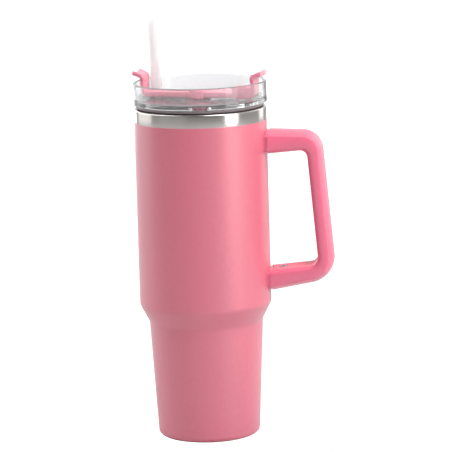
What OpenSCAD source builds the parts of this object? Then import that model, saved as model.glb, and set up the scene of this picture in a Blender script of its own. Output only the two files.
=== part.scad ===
// Insulated tumbler with a side handle, a clear press-in lid, a rotary closure and a drinking straw.
// +Z is up, the handle points along +X, and the origin is the centre of the base.

/* [Vessel] */
// Height of the steel rim above the base
body_h = 252; // [240:1:262]
// Outside diameter just under the rim band
body_d = 100; // [98:0.5:102]
// Outside diameter where the tapered foot starts, under the shoulder
foot_top_d = 86.6; // [84:0.1:88]
// Outside diameter at the bottom of the tapered foot
foot_d = 77.2; // [75:0.1:80]
// Height at which the shoulder leaves the tapered foot
shoulder_lo = 88.9; // [86:0.1:91]
// Height at which the shoulder meets the straight body
shoulder_hi = 102.3; // [100:0.1:105]
// Height of the bare steel band at the rim
band_h = 9.9; // [8:0.1:12]
// Thickness of the outer wall
shell_t = 0.6; // [0.5:0.1:0.9]
// Thickness of the inner cup's wall
liner_t = 0.5; // [0.4:0.1:0.8]
// Width of the vacuum space between the two walls
vacuum_gap = 3; // [2.6:0.1:3.2]

/* [Handle] */
// Width of the handle
handle_w = 27; // [26:1:30]
// Height of the top of the upper arm at the body
handle_hi = 234.6; // [232:0.1:236]
// Height of the underside of the lower arm at the body
handle_lo = 110.5; // [109:0.1:112]
// Distance from the axis to the outside of the grip at its top
grip_x = 91.3; // [89:0.1:94]
// How much further out the grip stands at its bottom
grip_lean = 9.4; // [7:0.1:10]

/* [Lid] */
// Outside diameter of the lid's clear crown
crown_d = 100.8; // [100:0.1:101.4]
// Height of the crown above the steel rim
crown_h = 19.5; // [18:0.1:20.5]
// Thickness of the crown's wall
crown_t = 2.3; // [2:0.1:2.6]
// Depth of the skirt that goes down into the cup
skirt_h = 17; // [15:0.5:20]

/* [Closure] */
// Angle of the closure about the axis
closure_turn = -12; // [-13:1:-11]
// Width of the closure's arms
arm_w = 15; // [13:0.5:15]
// Thickness of the arms
arm_h = 4.2; // [4:0.1:5]
// Width of the finger wings
wing_w = 17; // [16:0.5:21]

/* [Straw] */
// Outside diameter of the straw
straw_d = 8; // [7:0.5:8]
// Length of the straw
straw_l = 306; // [260:1:320]
// Distance of the straw from the axis where it passes the lid's deck
straw_r = 36; // [35.6:0.1:36.2]
// Outward lean of the straw, in degrees
straw_lean = 2.6; // [2:0.1:2.8]

/* [Hidden] */
$fn = 96;

body_r = body_d / 2;
waist_r = body_r + 0.2;
foot_top_r = foot_top_d / 2;
foot_r = foot_d / 2;
foot_corner = 4.5;
shoulder_bend = 10;
band_z = body_h - band_h;
band_step = 0.15;

liner_inset = shell_t + vacuum_gap;
floor_z = 9;
foot_ring_t = 0.8;
foot_ring_in = 30;
plate_z = 4.4;
plate_t = 0.8;
plate_r = 27;

deck_z = body_h + 5.5;
deck_t = 2.5;
crown_r = crown_d / 2;
crown_top = body_h + crown_h;
flange_z = body_h + 3;
skirt_r = 43.6;
skirt_t = 2.2;
skirt_bottom = flange_z - skirt_h;
seal_groove_z = skirt_bottom + 4;
seal_groove_h = 6;

shaft_r = 5;
running_gap = 0.1;
hub_r = 9;
washer_r = 7.5;
washer_t = 0.8;
clearance = 0.3;
hub_z = deck_z + 0.5;
arm_z = deck_z + 1.2;
spout_top = arm_z + 8.8;
riser_in = 41.6;
riser_t = 3;
spout_r = 34;
wing_top = body_h + 27.4;
wing_r = 50;
straw_turn = 158.4;
straw_base_z = 12;
straw_wall = 0.8;
notch_gap = 0.7;

// Points of an arc about c, from angle a0 to a1
function arc(c, r, a0, a1, n = 12) =
    [for (i = [0 : n]) let (a = a0 + (a1 - a0) * i / n) [c[0] + r * cos(a), c[1] + r * sin(a)]];

function unit2(v) = v / norm(v);

// An outline through pts with each corner rounded to its own radius: the round starts r * tan(turn / 2)
// before the corner and ends as far after it
function rounded(pts, radii, n = 10) = [
    for (i = [0 : len(pts) - 1])
        let (
            p = pts[i],
            a = unit2(pts[(i + len(pts) - 1) % len(pts)] - p),
            b = unit2(pts[(i + 1) % len(pts)] - p),
            half = acos(max(-1, min(1, a * b))) / 2,
            mid = unit2(a + b),
            c = p + mid * radii[i] / sin(half),
            start = p + a * radii[i] / tan(half),
            from = atan2((start - c)[1], (start - c)[0]),
            side = a[0] * b[1] - a[1] * b[0] > 0 ? -1 : 1,
            sweep = side * (180 - 2 * half)
        )
        each radii[i] == 0 ? [p] : arc(c, radii[i], from, from + sweep, n)
];

// Radius of the straight body at height z
function band_r(z) = body_r + (waist_r - body_r) * (body_h - z) / (body_h - shoulder_hi);

// Outline of the wall from its foot up to height top, moved in by inset: a rounded foot corner, the tapered
// foot, a sloping shoulder with two soft bends, and the straight body
function wall(inset, low, corner, top) = rounded(
    [
        [foot_ring_in, low], [foot_r - inset, low], [foot_top_r - inset, shoulder_lo],
        [waist_r - inset, shoulder_hi], [band_r(top) - inset, top]
    ],
    [0, corner, shoulder_bend, shoulder_bend, 0]
);

function reversed(list) = [for (i = [len(list) - 1 : -1 : 0]) list[i]];

module turned(pts) {
    rotate_extrude($fn = 160) polygon(pts);
}

// ---- vessel ----

// Painted outer wall: a tapered foot, a soft shoulder and a straight body, turned in at the foot
module outer_shell() {
    color("#DC7F92")
    turned(concat(
        wall(0, 0, foot_corner, band_z),
        reversed(wall(shell_t, foot_ring_t, foot_corner - shell_t, band_z))
    ));
}

// Bare steel end of the outer wall, rolled over to meet the inner cup
module rim_band() {
    r = body_r - band_step;
    lip = 1;
    color("#B9B4B0")
    turned(concat(
        [[r - shell_t, band_z], [r, band_z]],
        arc([r - lip, body_h - lip], lip, 0, 90, 6),
        [[body_r - liner_inset, body_h], [body_r - liner_inset, body_h - shell_t]],
        [[r - shell_t, body_h - shell_t]]
    ));
}

// Inner steel cup, which holds the drink
module inner_liner() {
    color("#C9C7C4")
    turned(concat(
        [[0, floor_z]],
        wall(liner_inset, floor_z, 7, body_h),
        reversed(wall(liner_inset + liner_t, floor_z + liner_t, 7 - liner_t, body_h)),
        [[0, floor_z + liner_t]]
    ));
}

// Reflecting foil round the inner cup, in the vacuum space
module foil_wrap() {
    low = 22;
    top = 236;
    color("#C88A5A")
    turned(concat(
        foil_side(liner_inset - 0.9, low, top),
        reversed(foil_side(liner_inset - 0.6, low, top))
    ));
}

function foil_side(inset, low, top) = rounded(
    [
        [foot_r - inset + (foot_top_r - foot_r) * low / shoulder_lo, low], [foot_top_r - inset, shoulder_lo],
        [waist_r - inset, shoulder_hi], [band_r(top) - inset, top]
    ],
    [0, shoulder_bend, shoulder_bend, 0]
);

// Stamped bottom of the vacuum space, dished up from the foot ring
module base_plate() {
    seat = foot_ring_t;
    color("#BDBBB8")
    difference() {
        turned([
            [0, plate_z], [plate_r - 1.5, plate_z], [plate_r, plate_z - 1.5], [plate_r, seat],
            [33.5, seat], [33.5, seat + plate_t], [plate_r + plate_t, seat + plate_t],
            [plate_r + plate_t, plate_z - 1], [plate_r - 1.2, plate_z + plate_t], [0, plate_z + plate_t]
        ]);
        translate([0, 0, plate_z - 1]) cylinder(r = 2.2, h = 3);
    }
}

// Solder bead that closes the evacuation hole
module vacuum_seal() {
    color("#8F8F92")
    translate([0, 0, plate_z]) cylinder(r = 2.2, h = plate_t);
}

// Thin disc glued under the plate, over the solder bead
module base_cap() {
    color("#B4B2B0")
    turned([[0, plate_z - 1.2], [13, plate_z - 1.2], [14, plate_z - 0.6], [14, plate_z], [0, plate_z]]);
}

// Gas getter: a small tablet on the plate, inside the vacuum
module getter() {
    color("#77777A")
    translate([16, 0, plate_z + plate_t]) cylinder(r = 4, h = 1.6);
}

// ---- handle ----

// Both arms run a little into the body, where they are cut to its curve
root_x = body_r - 6;
slope_hi = -0.042;
slope_lo = 0.181;

// Corners of the handle's outlines, in the plane through the axis
outer_root_hi = [root_x, handle_hi + (root_x - body_r) * slope_hi];
outer_top = [grip_x, handle_hi + (grip_x - body_r) * slope_hi];
outer_low = [grip_x + grip_lean, handle_lo + (grip_x + grip_lean - body_r) * slope_lo];
outer_root_lo = [root_x, handle_lo + (root_x - body_r) * slope_lo];
inner_root_lo = [root_x, handle_lo + 17];
inner_low = [grip_x - 4.2, handle_lo + 20.9];
inner_top = [grip_x - 11.3, handle_hi - 15.6];
inner_root_hi = [root_x, handle_hi - 18.5];

// Height of the finger side of each arm at distance x from the axis
function on_line(a, b, x) = a[1] + (b - a)[1] * (x - a[0]) / (b[0] - a[0]);
function finger_hi(x) = on_line(inner_root_hi, inner_top, x);
function finger_lo(x) = on_line(inner_root_lo, inner_low, x);

// Outline of the space inside the handle, grown by d
function finger_path(d) = rounded(
    [
        inner_root_hi + [0, d], inner_top + [d, d], inner_low + [d, -d], inner_root_lo + [0, -d]
    ],
    [0, 5.5 + d, 6.5 + d, 0]
);

function handle_path() = rounded(
    [
        outer_root_hi, outer_top, outer_low, outer_root_lo,
        inner_root_lo, inner_low, inner_top, inner_root_hi
    ],
    [0, 15.5, 20.5, 0, 0, 6.5, 5.5, 0]
);

module across(w) {
    translate([0, w / 2, 0]) rotate([90, 0, 0]) linear_extrude(height = w) children();
}

module body_cut(gap) {
    translate([0, 0, handle_lo - 10]) cylinder(r = waist_r + gap, h = handle_hi - handle_lo + 20, $fn = 160);
}

cover_t = 2.4;
cover_w = handle_w - 9;
pad_t = 2.2;
pad_inset = 0.8;
bracket_w = 12;
bracket_h = 6;
bracket_reach = 66;
bracket_hi = handle_hi - 9;
bracket_lo = handle_lo + 9.4;
screw_x = 60;
screw_r = 1.9;
screw_head_r = 3;
screw_head_h = 1.8;
seat_hi = finger_hi(screw_x - screw_head_r) + cover_t;
seat_lo = finger_lo(screw_x + screw_head_r) - cover_t;

// C-shaped handle: two arms and a grip, with a shallow bed for the cover on the finger side
module handle_frame() {
    color("#F096AA")
    difference() {
        across(handle_w) polygon(handle_path());
        across(cover_w) polygon(finger_path(cover_t));
        body_cut(pad_t);
        bracket_space();
        translate([screw_x, 0, bracket_hi - 9]) cylinder(r = screw_r, h = 9, $fn = 32);
        translate([screw_x, 0, bracket_lo]) cylinder(r = screw_r, h = 9, $fn = 32);
    }
}

module bracket_space() {
    for (z = [bracket_hi, bracket_lo])
        translate([root_x, -bracket_w / 2, z - bracket_h / 2])
            cube([bracket_reach - root_x, bracket_w, bracket_h]);
}

// Thin pads between the arms and the wall, a little smaller than the arms
module arm_pads() {
    ends = [
        [inner_root_hi[1] + pad_inset, outer_root_hi[1] - pad_inset - 0.6],
        [outer_root_lo[1] + pad_inset + 1.4, inner_root_lo[1] - pad_inset]
    ];
    color("#E88CA0")
    difference() {
        intersection() {
            for (z = ends)
                translate([root_x, -handle_w / 2 + pad_inset, z[0]])
                    cube([20, handle_w - 2 * pad_inset, z[1] - z[0]]);
            translate([0, 0, handle_lo - 10])
                cylinder(r = waist_r + pad_t, h = handle_hi - handle_lo + 20, $fn = 160);
        }
        body_cut(0.02);
        bracket_space();
    }
}

// Softer liner on the finger side of the handle
module handle_cover() {
    color("#E66E87")
    difference() {
        across(cover_w) difference() {
            polygon(finger_path(cover_t));
            polygon(finger_path(0));
        }
        body_cut(pad_t);
        for (z = [seat_hi, seat_lo])
            translate([screw_x, 0, z - 4]) cylinder(r = screw_head_r + clearance, h = 8, $fn = 48);
    }
}

// Steel block welded to the wall, which an arm slides over
module bracket(z) {
    color("#BDBBB8")
    difference() {
        translate([body_r - 4, -bracket_w / 2, z - bracket_h / 2])
            cube([bracket_reach - body_r + 4, bracket_w, bracket_h]);
        translate([0, 0, z - 6]) cylinder(r = band_r(z - 3), h = 12, $fn = 160);
        translate([screw_x, 0, z - 6]) cylinder(r = screw_r, h = 12, $fn = 32);
    }
}

module upper_bracket() { bracket(bracket_hi); }
module lower_bracket() { bracket(bracket_lo); }

// A screw with its head down at z = 0 and its tip at height tip
module screw(tip) {
    cylinder(r = screw_r, h = tip, $fn = 32);
    translate([0, 0, -screw_head_h]) difference() {
        cylinder(r = screw_head_r, h = screw_head_h, $fn = 48);
        translate([0, 0, -1]) cylinder(r = 1.3, h = 2, $fn = 6);
    }
}

// One screw through the finger side of each arm into its bracket
module handle_screws() {
    color("#A9A9AC") {
        translate([screw_x, 0, seat_hi - 0.4]) screw(bracket_hi + 2.5 - seat_hi);
        translate([screw_x, 0, seat_lo + 0.4]) mirror([0, 0, 1]) screw(seat_lo - bracket_lo + 2.5);
    }
}

// ---- lid ----

// The straw's line: out at straw_turn, leaning away from the axis, through the middle of the deck
module on_straw() {
    rotate([0, 0, straw_turn]) translate([straw_r, 0, deck_z]) rotate([0, straw_lean, 0]) children();
}

module at_spout(z) {
    rotate([0, 0, closure_turn]) translate([spout_r, 0, z]) children();
}

module slot(r, w, h) {
    for (side = [-1, 1]) translate([0, side * (w / 2 - r), 0]) cylinder(r = r, h = h, $fn = 48);
    translate([-r, -(w / 2 - r), 0]) cube([2 * r, w - 2 * r, h]);
}

// Clear lid: a tall crown, a sunken deck with the drink and straw holes, and a skirt in the cup
module lid_body() {
    wall_in = crown_r - crown_t;
    top_r = crown_t / 2;
    under = deck_z - deck_t;
    color("#E9EDEE", 0.45)
    difference() {
        turned(concat(
            [[shaft_r + running_gap, deck_z], [shaft_r + running_gap, under - 2.5], [hub_r + 1, under - 2.5]],
            [[hub_r + 1.5, under], [skirt_r - skirt_t, under], [skirt_r - skirt_t, skirt_bottom]],
            [[skirt_r - 0.6, skirt_bottom], [skirt_r, skirt_bottom + 0.6]],
            [[skirt_r, seal_groove_z], [skirt_r - 1, seal_groove_z]],
            [[skirt_r - 1, seal_groove_z + seal_groove_h], [skirt_r, seal_groove_z + seal_groove_h]],
            [[skirt_r, flange_z], [crown_r - 0.9, flange_z]],
            arc([crown_r - 0.9, flange_z + 1.2], 1.2, -90, 0, 5),
            arc([crown_r - top_r, crown_top - top_r], top_r, 0, 180, 10),
            arc([wall_in - 2.5, deck_z + 2.5], 2.5, 0, -90, 6)
        ));
        at_spout(under - 1) slot(3.5, 13, deck_t + 2);
        on_straw() translate([0, 0, -6]) cylinder(r = straw_d / 2 + clearance, h = 12, $fn = 64);
        rotate([0, 0, closure_turn + 90]) translate([32, 0, under - 1])
            cylinder(r = 1, h = deck_t + 2, $fn = 24);
    }
}

// Dark silicone ring: a flat flange between rim and lid, and two lips in the skirt's groove
module lid_seal() {
    low = seal_groove_z + clearance;
    top = seal_groove_z + seal_groove_h;
    lip = body_r - liner_inset - liner_t - 0.4;
    color("#5C5351")
    turned([
        [skirt_r - 1, low], [skirt_r + 0.6, low],
        [lip, low + 0.9], [lip, low + 1.5], [skirt_r + 0.6, low + 1.7],
        [skirt_r + 0.6, low + 3], [lip, low + 3.9], [lip, low + 4.5], [skirt_r + 0.6, low + 4.7],
        [skirt_r + 0.6, body_h + 0.3], [crown_r - 1.9, body_h + 0.3], [crown_r - 1.9, flange_z],
        [skirt_r, flange_z], [skirt_r, top], [skirt_r - 1, top]
    ]);
}

// ---- closure ----

// Side view of an arm's end: a foot, a riser inside the crown and a wing that leans out over its rim
function wing_side() = concat(
    [[riser_in - 3, arm_z], [riser_in + riser_t - 0.6, arm_z], [riser_in + riser_t, arm_z + 0.6]],
    arc([riser_in + riser_t + 1.6, wing_top - 7], 1.6, 180, 107, 5),
    [[wing_r - 0.7, wing_top - 4.1], [wing_r + 0.4, wing_top - 3.2]],
    [[wing_r + 0.5, wing_top - 0.4], [wing_r, wing_top]],
    [[riser_in + 3.2, wing_top - 2.2]],
    arc([riser_in + 2.2, wing_top - 4.4], 2.2, 90, 180, 5),
    [[riser_in, arm_z + arm_h + 1.5], [riser_in - 1.5, arm_z + arm_h], [riser_in - 3, arm_z + arm_h]]
);

// One end of the closure: the riser is as wide as the arm and the wing wider, with two horns at its ends
module wing() {
    horn_dip = 2.2;
    horn_r = (wing_w * wing_w / 4 + horn_dip * horn_dip) / (2 * horn_dip);
    side_cut = 10;
    difference() {
        across(wing_w) polygon(wing_side());
        for (y = [arm_w / 2, -arm_w / 2 - side_cut])
            translate([riser_in - 6, y, 0]) cube([riser_t + 14, side_cut, wing_top - 7]);
        translate([riser_in - 10, 0, wing_top - horn_dip + horn_r]) rotate([0, 90, 0])
            cylinder(r = horn_r, h = 30, $fn = 160);
    }
}

// Space that the straw needs in the arm, open towards the side that the arm turns away from
module straw_notch() {
    r = straw_d / 2 + notch_gap;
    on_straw() union() {
        translate([0, 0, -4]) cylinder(r = r, h = 16, $fn = 64);
        translate([-r, -12, -4]) cube([2 * r, 12, 16]);
    }
}

// Rotary closure: a hub on a shaft, two arms, a raised block over the drink hole and a wing at each end
module closure() {
    color("#F0A0B2")
    difference() {
        rotate([0, 0, closure_turn]) difference() {
            union() {
                translate([0, 0, hub_z]) cylinder(r = hub_r, h = arm_z + arm_h + 1 - hub_z);
                translate([0, 0, deck_z - deck_t - 6.5]) cylinder(r = shaft_r, h = deck_t + 8);
                translate([-riser_in, -arm_w / 2, arm_z]) cube([2 * riser_in, arm_w, arm_h]);
                translate([spout_r - 7, -arm_w / 2, arm_z])
                    cube([riser_in - spout_r + 8, arm_w, spout_top - arm_z]);
                wing();
                rotate([0, 0, 180]) wing();
            }
            translate([0, 0, hub_z - 1]) difference() {
                cylinder(r = washer_r, h = 1 + washer_t - 0.2);
                cylinder(r = shaft_r, h = 3);
            }
        }
        straw_notch();
    }
}

// Silicone pad under the block, over the drink hole
module spout_pad() {
    color("#F7C9D2")
    at_spout(deck_z + clearance) slot(4.6, 14.6, arm_z - deck_z - clearance);
}

// Washer in a groove under the hub
module hub_washer() {
    color("#E9E4E2")
    translate([0, 0, deck_z + clearance]) difference() {
        cylinder(r = washer_r, h = washer_t);
        translate([0, 0, -1]) cylinder(r = shaft_r, h = 3);
    }
}

// Snap ring on the shaft, under the deck
module hub_retainer() {
    top = deck_z - deck_t - 2.5 - clearance;
    color("#E26078")
    difference() {
        union() {
            translate([0, 0, top - 2]) cylinder(r = 14.5, h = 2);
            translate([0, 0, top - 3.4]) cylinder(r = 8, h = 1.6);
        }
        translate([0, 0, top - 4]) cylinder(r = shaft_r, h = 5);
    }
}

// ---- straw ----

// Distance from the deck down to the straw's lower end, along the straw
straw_down = (deck_z - straw_base_z) / cos(straw_lean);

// Clear drinking straw with one open bore
module straw() {
    color("#F1EEEE", 0.6)
    on_straw() translate([0, 0, -straw_down]) difference() {
        cylinder(r = straw_d / 2, h = straw_l, $fn = 48);
        translate([0, 0, -1]) cylinder(r = straw_d / 2 - straw_wall, h = straw_l + 2, $fn = 48);
    }
}

// Collar that stops the straw from being pulled right out through the lid
module straw_stop() {
    collar = 28;
    color("#F1EEEE", 0.6)
    on_straw() translate([0, 0, collar - straw_down]) difference() {
        cylinder(r = straw_d / 2 + 1.2, h = 2.4, $fn = 48);
        translate([0, 0, -1]) cylinder(r = straw_d / 2, h = 5, $fn = 48);
    }
}

outer_shell();
rim_band();
inner_liner();
foil_wrap();
base_plate();
vacuum_seal();
base_cap();
getter();
upper_bracket();
lower_bracket();
handle_frame();
arm_pads();
handle_cover();
handle_screws();
lid_body();
lid_seal();
closure();
spout_pad();
hub_washer();
hub_retainer();
straw();
straw_stop();
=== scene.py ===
import math

import bmesh
import bpy
import numpy as np
from mathutils import Matrix, Vector


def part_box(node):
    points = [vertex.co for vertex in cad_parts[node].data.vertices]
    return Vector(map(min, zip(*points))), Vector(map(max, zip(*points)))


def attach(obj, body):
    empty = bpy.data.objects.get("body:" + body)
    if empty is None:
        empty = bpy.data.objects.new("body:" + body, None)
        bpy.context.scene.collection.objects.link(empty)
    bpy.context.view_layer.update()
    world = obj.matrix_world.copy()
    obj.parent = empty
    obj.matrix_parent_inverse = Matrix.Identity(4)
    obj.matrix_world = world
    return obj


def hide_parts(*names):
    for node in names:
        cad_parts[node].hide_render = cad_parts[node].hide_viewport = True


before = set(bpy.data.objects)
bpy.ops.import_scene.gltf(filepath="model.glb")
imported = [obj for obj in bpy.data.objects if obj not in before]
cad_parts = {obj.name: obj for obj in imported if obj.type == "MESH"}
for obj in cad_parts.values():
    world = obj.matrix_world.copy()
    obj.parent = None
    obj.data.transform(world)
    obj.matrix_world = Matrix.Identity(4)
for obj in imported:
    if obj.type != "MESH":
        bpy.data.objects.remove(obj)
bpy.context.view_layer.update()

mm = 0.001
scene = bpy.context.scene
scene.view_settings.view_transform = "Standard"

toneCurve = {
    "limit": 1.6,
    "bends": ((0.55, 0.55), (0.8, 0.75), (1.1, 0.9)),
    "end": (1.4, 1.0),
}


def makeToneCurve(settings):
    # A soft shoulder, so that the brightest pinks keep their hue.
    scene.view_settings.use_curve_mapping = True
    shoulder = scene.view_settings.curve_mapping
    shoulder.clip_max_x = shoulder.clip_max_y = settings["limit"]
    shoulder.extend = "HORIZONTAL"
    points = shoulder.curves[3].points
    for x, y in settings["bends"]:
        points.new(x, y)
    points[-1].location = settings["end"]
    shoulder.update()


makeToneCurve(toneCurve)

# Camera: a long lens, a little above the lid, leaning slightly to one side.

cameraSettings = {
    "distance": 2.182,      # from the tumbler's axis
    "height": 0.5386,
    "azimuth": 5.0,         # degrees, 0 looks along +Y
    "aim": (0.017, 0.0, 0.160),
    "roll": -1.66,          # degrees
    "lens": 232.1,
    "sensor": 36.0,
    "clip": (0.05, 20.0),
}


def makeCamera(settings):
    # Place: distance back along the azimuth, at the height. The view runs to the aim point, and the
    # view's up and right are turned about it by the roll.
    turn = math.radians(settings["azimuth"])
    spin = Matrix.Rotation(turn, 3, "Z")
    place = spin @ Vector((0.0, -settings["distance"], settings["height"]))
    forward = (spin @ Vector(settings["aim"]) - place).normalized()
    right = forward.cross(Vector((0, 0, 1))).normalized()
    up = right.cross(forward)
    roll = math.radians(settings["roll"])
    tiltedRight = math.cos(roll) * right + math.sin(roll) * up
    tiltedUp = math.cos(roll) * up - math.sin(roll) * right
    data = bpy.data.cameras.new("camera")
    data.lens = settings["lens"]
    data.sensor_width = settings["sensor"]
    data.clip_start, data.clip_end = settings["clip"]
    camera = bpy.data.objects.new("camera", data)
    scene.collection.objects.link(camera)
    axes = Matrix((tiltedRight, tiltedUp, -forward)).transposed()
    camera.matrix_world = Matrix.Translation(place) @ axes.to_4x4()
    scene.camera = camera


makeCamera(cameraSettings)
print("camera ready")

weldGap, thinEdge = 2e-6, 1e-7    # metres, points closer than this are joined, and thinner faces go


def roundedLine(points, radii, steps=10, closed=False):
    # A line through the points whose corners are arcs: an arc starts radius * tan(turn / 2) before its
    # corner, ends as far after it, and its centre lies on the corner's bisector.
    pts = np.asarray(points, float)
    out = []
    for i, (p, r) in enumerate(zip(pts, radii)):
        if r == 0 or (not closed and i in (0, len(pts) - 1)):
            out.append(p[None])
            continue
        a = pts[i - 1] - p
        b = pts[(i + 1) % len(pts)] - p
        a, b = a / np.linalg.norm(a), b / np.linalg.norm(b)
        half = math.acos(np.clip(a @ b, -1, 1)) / 2
        centre = p + (a + b) / np.linalg.norm(a + b) * r / math.sin(half)
        start, end = p + a * r / math.tan(half) - centre, p + b * r / math.tan(half) - centre
        sweep = math.pi - 2 * half
        t = np.linspace(0, 1, steps + 1)[:, None]
        out.append(centre + (np.sin((1 - t) * sweep) * start + np.sin(t * sweep) * end) / math.sin(sweep))
    return np.concatenate(out)


def spaced(line, count):
    # The same line with its points at equal steps of arc length.
    length = np.concatenate([[0], np.cumsum(np.linalg.norm(np.diff(line, axis=0), axis=1))])
    at = np.linspace(0, length[-1], count)
    return np.stack([np.interp(at, length, line[:, k]) for k in range(line.shape[1])], 1)


def gridMesh(name, grid, wrapRows=False, wrapColumns=True, capEnds=False):
    # grid[i, j] is the point at row i and column j. Neighbouring rows and columns are joined by quads, and
    # capEnds closes the first and last rows with a fan about their middle.
    rows, columns = grid.shape[:2]
    index = np.arange(rows * columns).reshape(rows, columns)
    i = np.arange(rows if wrapRows else rows - 1)
    j = np.arange(columns if wrapColumns else columns - 1)
    a = index[np.ix_(i, j)]
    b = index[np.ix_(i, (j + 1) % columns)]
    c = index[np.ix_((i + 1) % rows, (j + 1) % columns)]
    d = index[np.ix_((i + 1) % rows, j)]
    quads = np.stack([a, b, c, d], -1).reshape(-1, 4)
    points = grid.reshape(-1, 3)
    fans = np.zeros((0, 3), int)
    if capEnds:
        middles = np.array([grid[0].mean(0), grid[-1].mean(0)])
        points = np.concatenate([points, middles])
        first, last = rows * columns, rows * columns + 1
        ring = np.arange(columns)
        after = (ring + 1) % columns
        low = np.stack([np.full(columns, first), index[0, after], index[0, ring]], 1)
        high = np.stack([np.full(columns, last), index[-1, ring], index[-1, after]], 1)
        fans = np.concatenate([low, high])
    mesh = bpy.data.meshes.new(name)
    corners = np.concatenate([quads.ravel(), fans.ravel()]).astype(np.int32)
    starts = np.concatenate([np.arange(len(quads)) * 4, len(quads) * 4 + np.arange(len(fans)) * 3])
    mesh.vertices.add(len(points))
    mesh.vertices.foreach_set("co", points.astype(np.float32).ravel())
    mesh.loops.add(len(corners))
    mesh.loops.foreach_set("vertex_index", corners)
    mesh.polygons.add(len(starts))
    mesh.polygons.foreach_set("loop_start", starts.astype(np.int32))
    mesh.update(calc_edges=True)
    mesh.validate()
    return mesh


def outward(mesh, dropThin=False):
    # Points that coincide become one, and all faces turn outward, so that a boolean reads the solid
    # the right way round.
    work = bmesh.new()
    work.from_mesh(mesh)
    bmesh.ops.remove_doubles(work, verts=work.verts, dist=weldGap)
    if dropThin:
        bmesh.ops.dissolve_degenerate(work, dist=thinEdge, edges=work.edges)
    bmesh.ops.recalc_face_normals(work, faces=work.faces)
    work.to_mesh(mesh)
    work.free()
    return mesh


def tidyMesh(mesh, sharpAngle):
    # The finished surface: clean, smooth, and sharp only where it bends by more than the angle.
    outward(mesh, dropThin=True)
    mesh.shade_smooth()
    mesh.set_sharp_from_angle(angle=math.radians(sharpAngle))


def addPiece(mesh, body, material, replaced=(), sharpAngle=38):
    tidyMesh(mesh, sharpAngle)
    piece = bpy.data.objects.new(mesh.name, mesh)
    scene.collection.objects.link(piece)
    mesh.materials.append(material)
    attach(piece, body)
    if replaced:
        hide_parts(*replaced)
    return piece


def turned(name, profile, segments=256):
    # A closed outline of (radius, height) carried round the axis: x = r cos a, y = r sin a, z = height.
    profile = np.asarray(profile, float)
    angle = np.linspace(0, 2 * math.pi, segments, endpoint=False)[:, None]
    r, z = profile[None, :, 0], profile[None, :, 1]
    grid = np.stack([r * np.cos(angle), r * np.sin(angle), z + 0 * angle], -1)
    return gridMesh(name, grid, wrapRows=True, wrapColumns=True)


def roundedBox(halfWide, halfTall, radii, steps=6):
    # Outline of a rectangle whose corners are arcs, from the lower right corner and round to the left.
    corners = [(halfWide, -halfTall), (halfWide, halfTall), (-halfWide, halfTall), (-halfWide, -halfTall)]
    return roundedLine(corners, radii, steps, closed=True)


def booleanMesh(mesh, cutters, operation):
    # mesh with each cutter added to it or taken from it, in exact arithmetic.
    target = bpy.data.objects.new("target", mesh)
    scene.collection.objects.link(target)
    extras = []
    for cutter in cutters:
        other = bpy.data.objects.new("cutter", cutter)
        scene.collection.objects.link(other)
        extras.append(other)
        step = target.modifiers.new("cut", "BOOLEAN")
        step.object, step.operation, step.solver = other, operation, "EXACT"
    graph = bpy.context.evaluated_depsgraph_get()
    result = bpy.data.meshes.new_from_object(target.evaluated_get(graph))
    result.name = mesh.name
    for extra in [target, *extras]:
        bpy.data.objects.remove(extra)
    return result


def nodeOf(tree, kind, **values):
    node = tree.nodes.new(kind)
    for key, value in values.items():
        if key in node.inputs:
            node.inputs[key].default_value = value
        else:
            setattr(node, key, value)
    return node


def newGroup(name, values):
    # A node group with these number inputs, and the outputs Mask and Normal.
    group = bpy.data.node_groups.new(name, "ShaderNodeTree")
    face = group.interface
    for key, value in values.items():
        face.new_socket(key, in_out="INPUT", socket_type="NodeSocketFloat").default_value = value
    face.new_socket("Mask", in_out="OUTPUT", socket_type="NodeSocketFloat")
    face.new_socket("Normal", in_out="OUTPUT", socket_type="NodeSocketVector")
    return group, group.nodes.new("NodeGroupInput"), group.nodes.new("NodeGroupOutput")


def groupOutputs(group, source, sink, mask):
    # Mask goes out as it is, and Normal is the surface that it bumps by Depth and Height.
    bump = group.nodes.new("ShaderNodeBump")
    link = group.links.new
    link(source.outputs["Depth"], bump.inputs["Strength"])
    link(source.outputs["Height"], bump.inputs["Distance"])
    link(mask, bump.inputs["Height"])
    link(mask, sink.inputs["Mask"])
    link(bump.outputs["Normal"], sink.inputs["Normal"])


def makeGrainGroup():
    # Fine relief on Object coordinates: a broad soft waviness and a fine grain, each with its own size,
    # mixed by Grain Share.
    group, source, sink = newGroup("fineGrain", {
        "Wave Scale": 300.0, "Grain Scale": 2500.0, "Grain Share": 0.5, "Depth": 0.1, "Height": 0.0001})
    place = group.nodes.new("ShaderNodeTexCoord")
    wave = nodeOf(group, "ShaderNodeTexNoise", Detail=2.0)
    grain = nodeOf(group, "ShaderNodeTexNoise", Detail=3.0)
    mix = nodeOf(group, "ShaderNodeMix", data_type="FLOAT")
    link = group.links.new
    link(place.outputs["Object"], wave.inputs["Vector"])
    link(place.outputs["Object"], grain.inputs["Vector"])
    link(source.outputs["Wave Scale"], wave.inputs["Scale"])
    link(source.outputs["Grain Scale"], grain.inputs["Scale"])
    link(source.outputs["Grain Share"], mix.inputs[0])
    link(wave.outputs["Fac"], mix.inputs[2])
    link(grain.outputs["Fac"], mix.inputs[3])
    groupOutputs(group, source, sink, mix.outputs[0])
    return group


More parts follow.
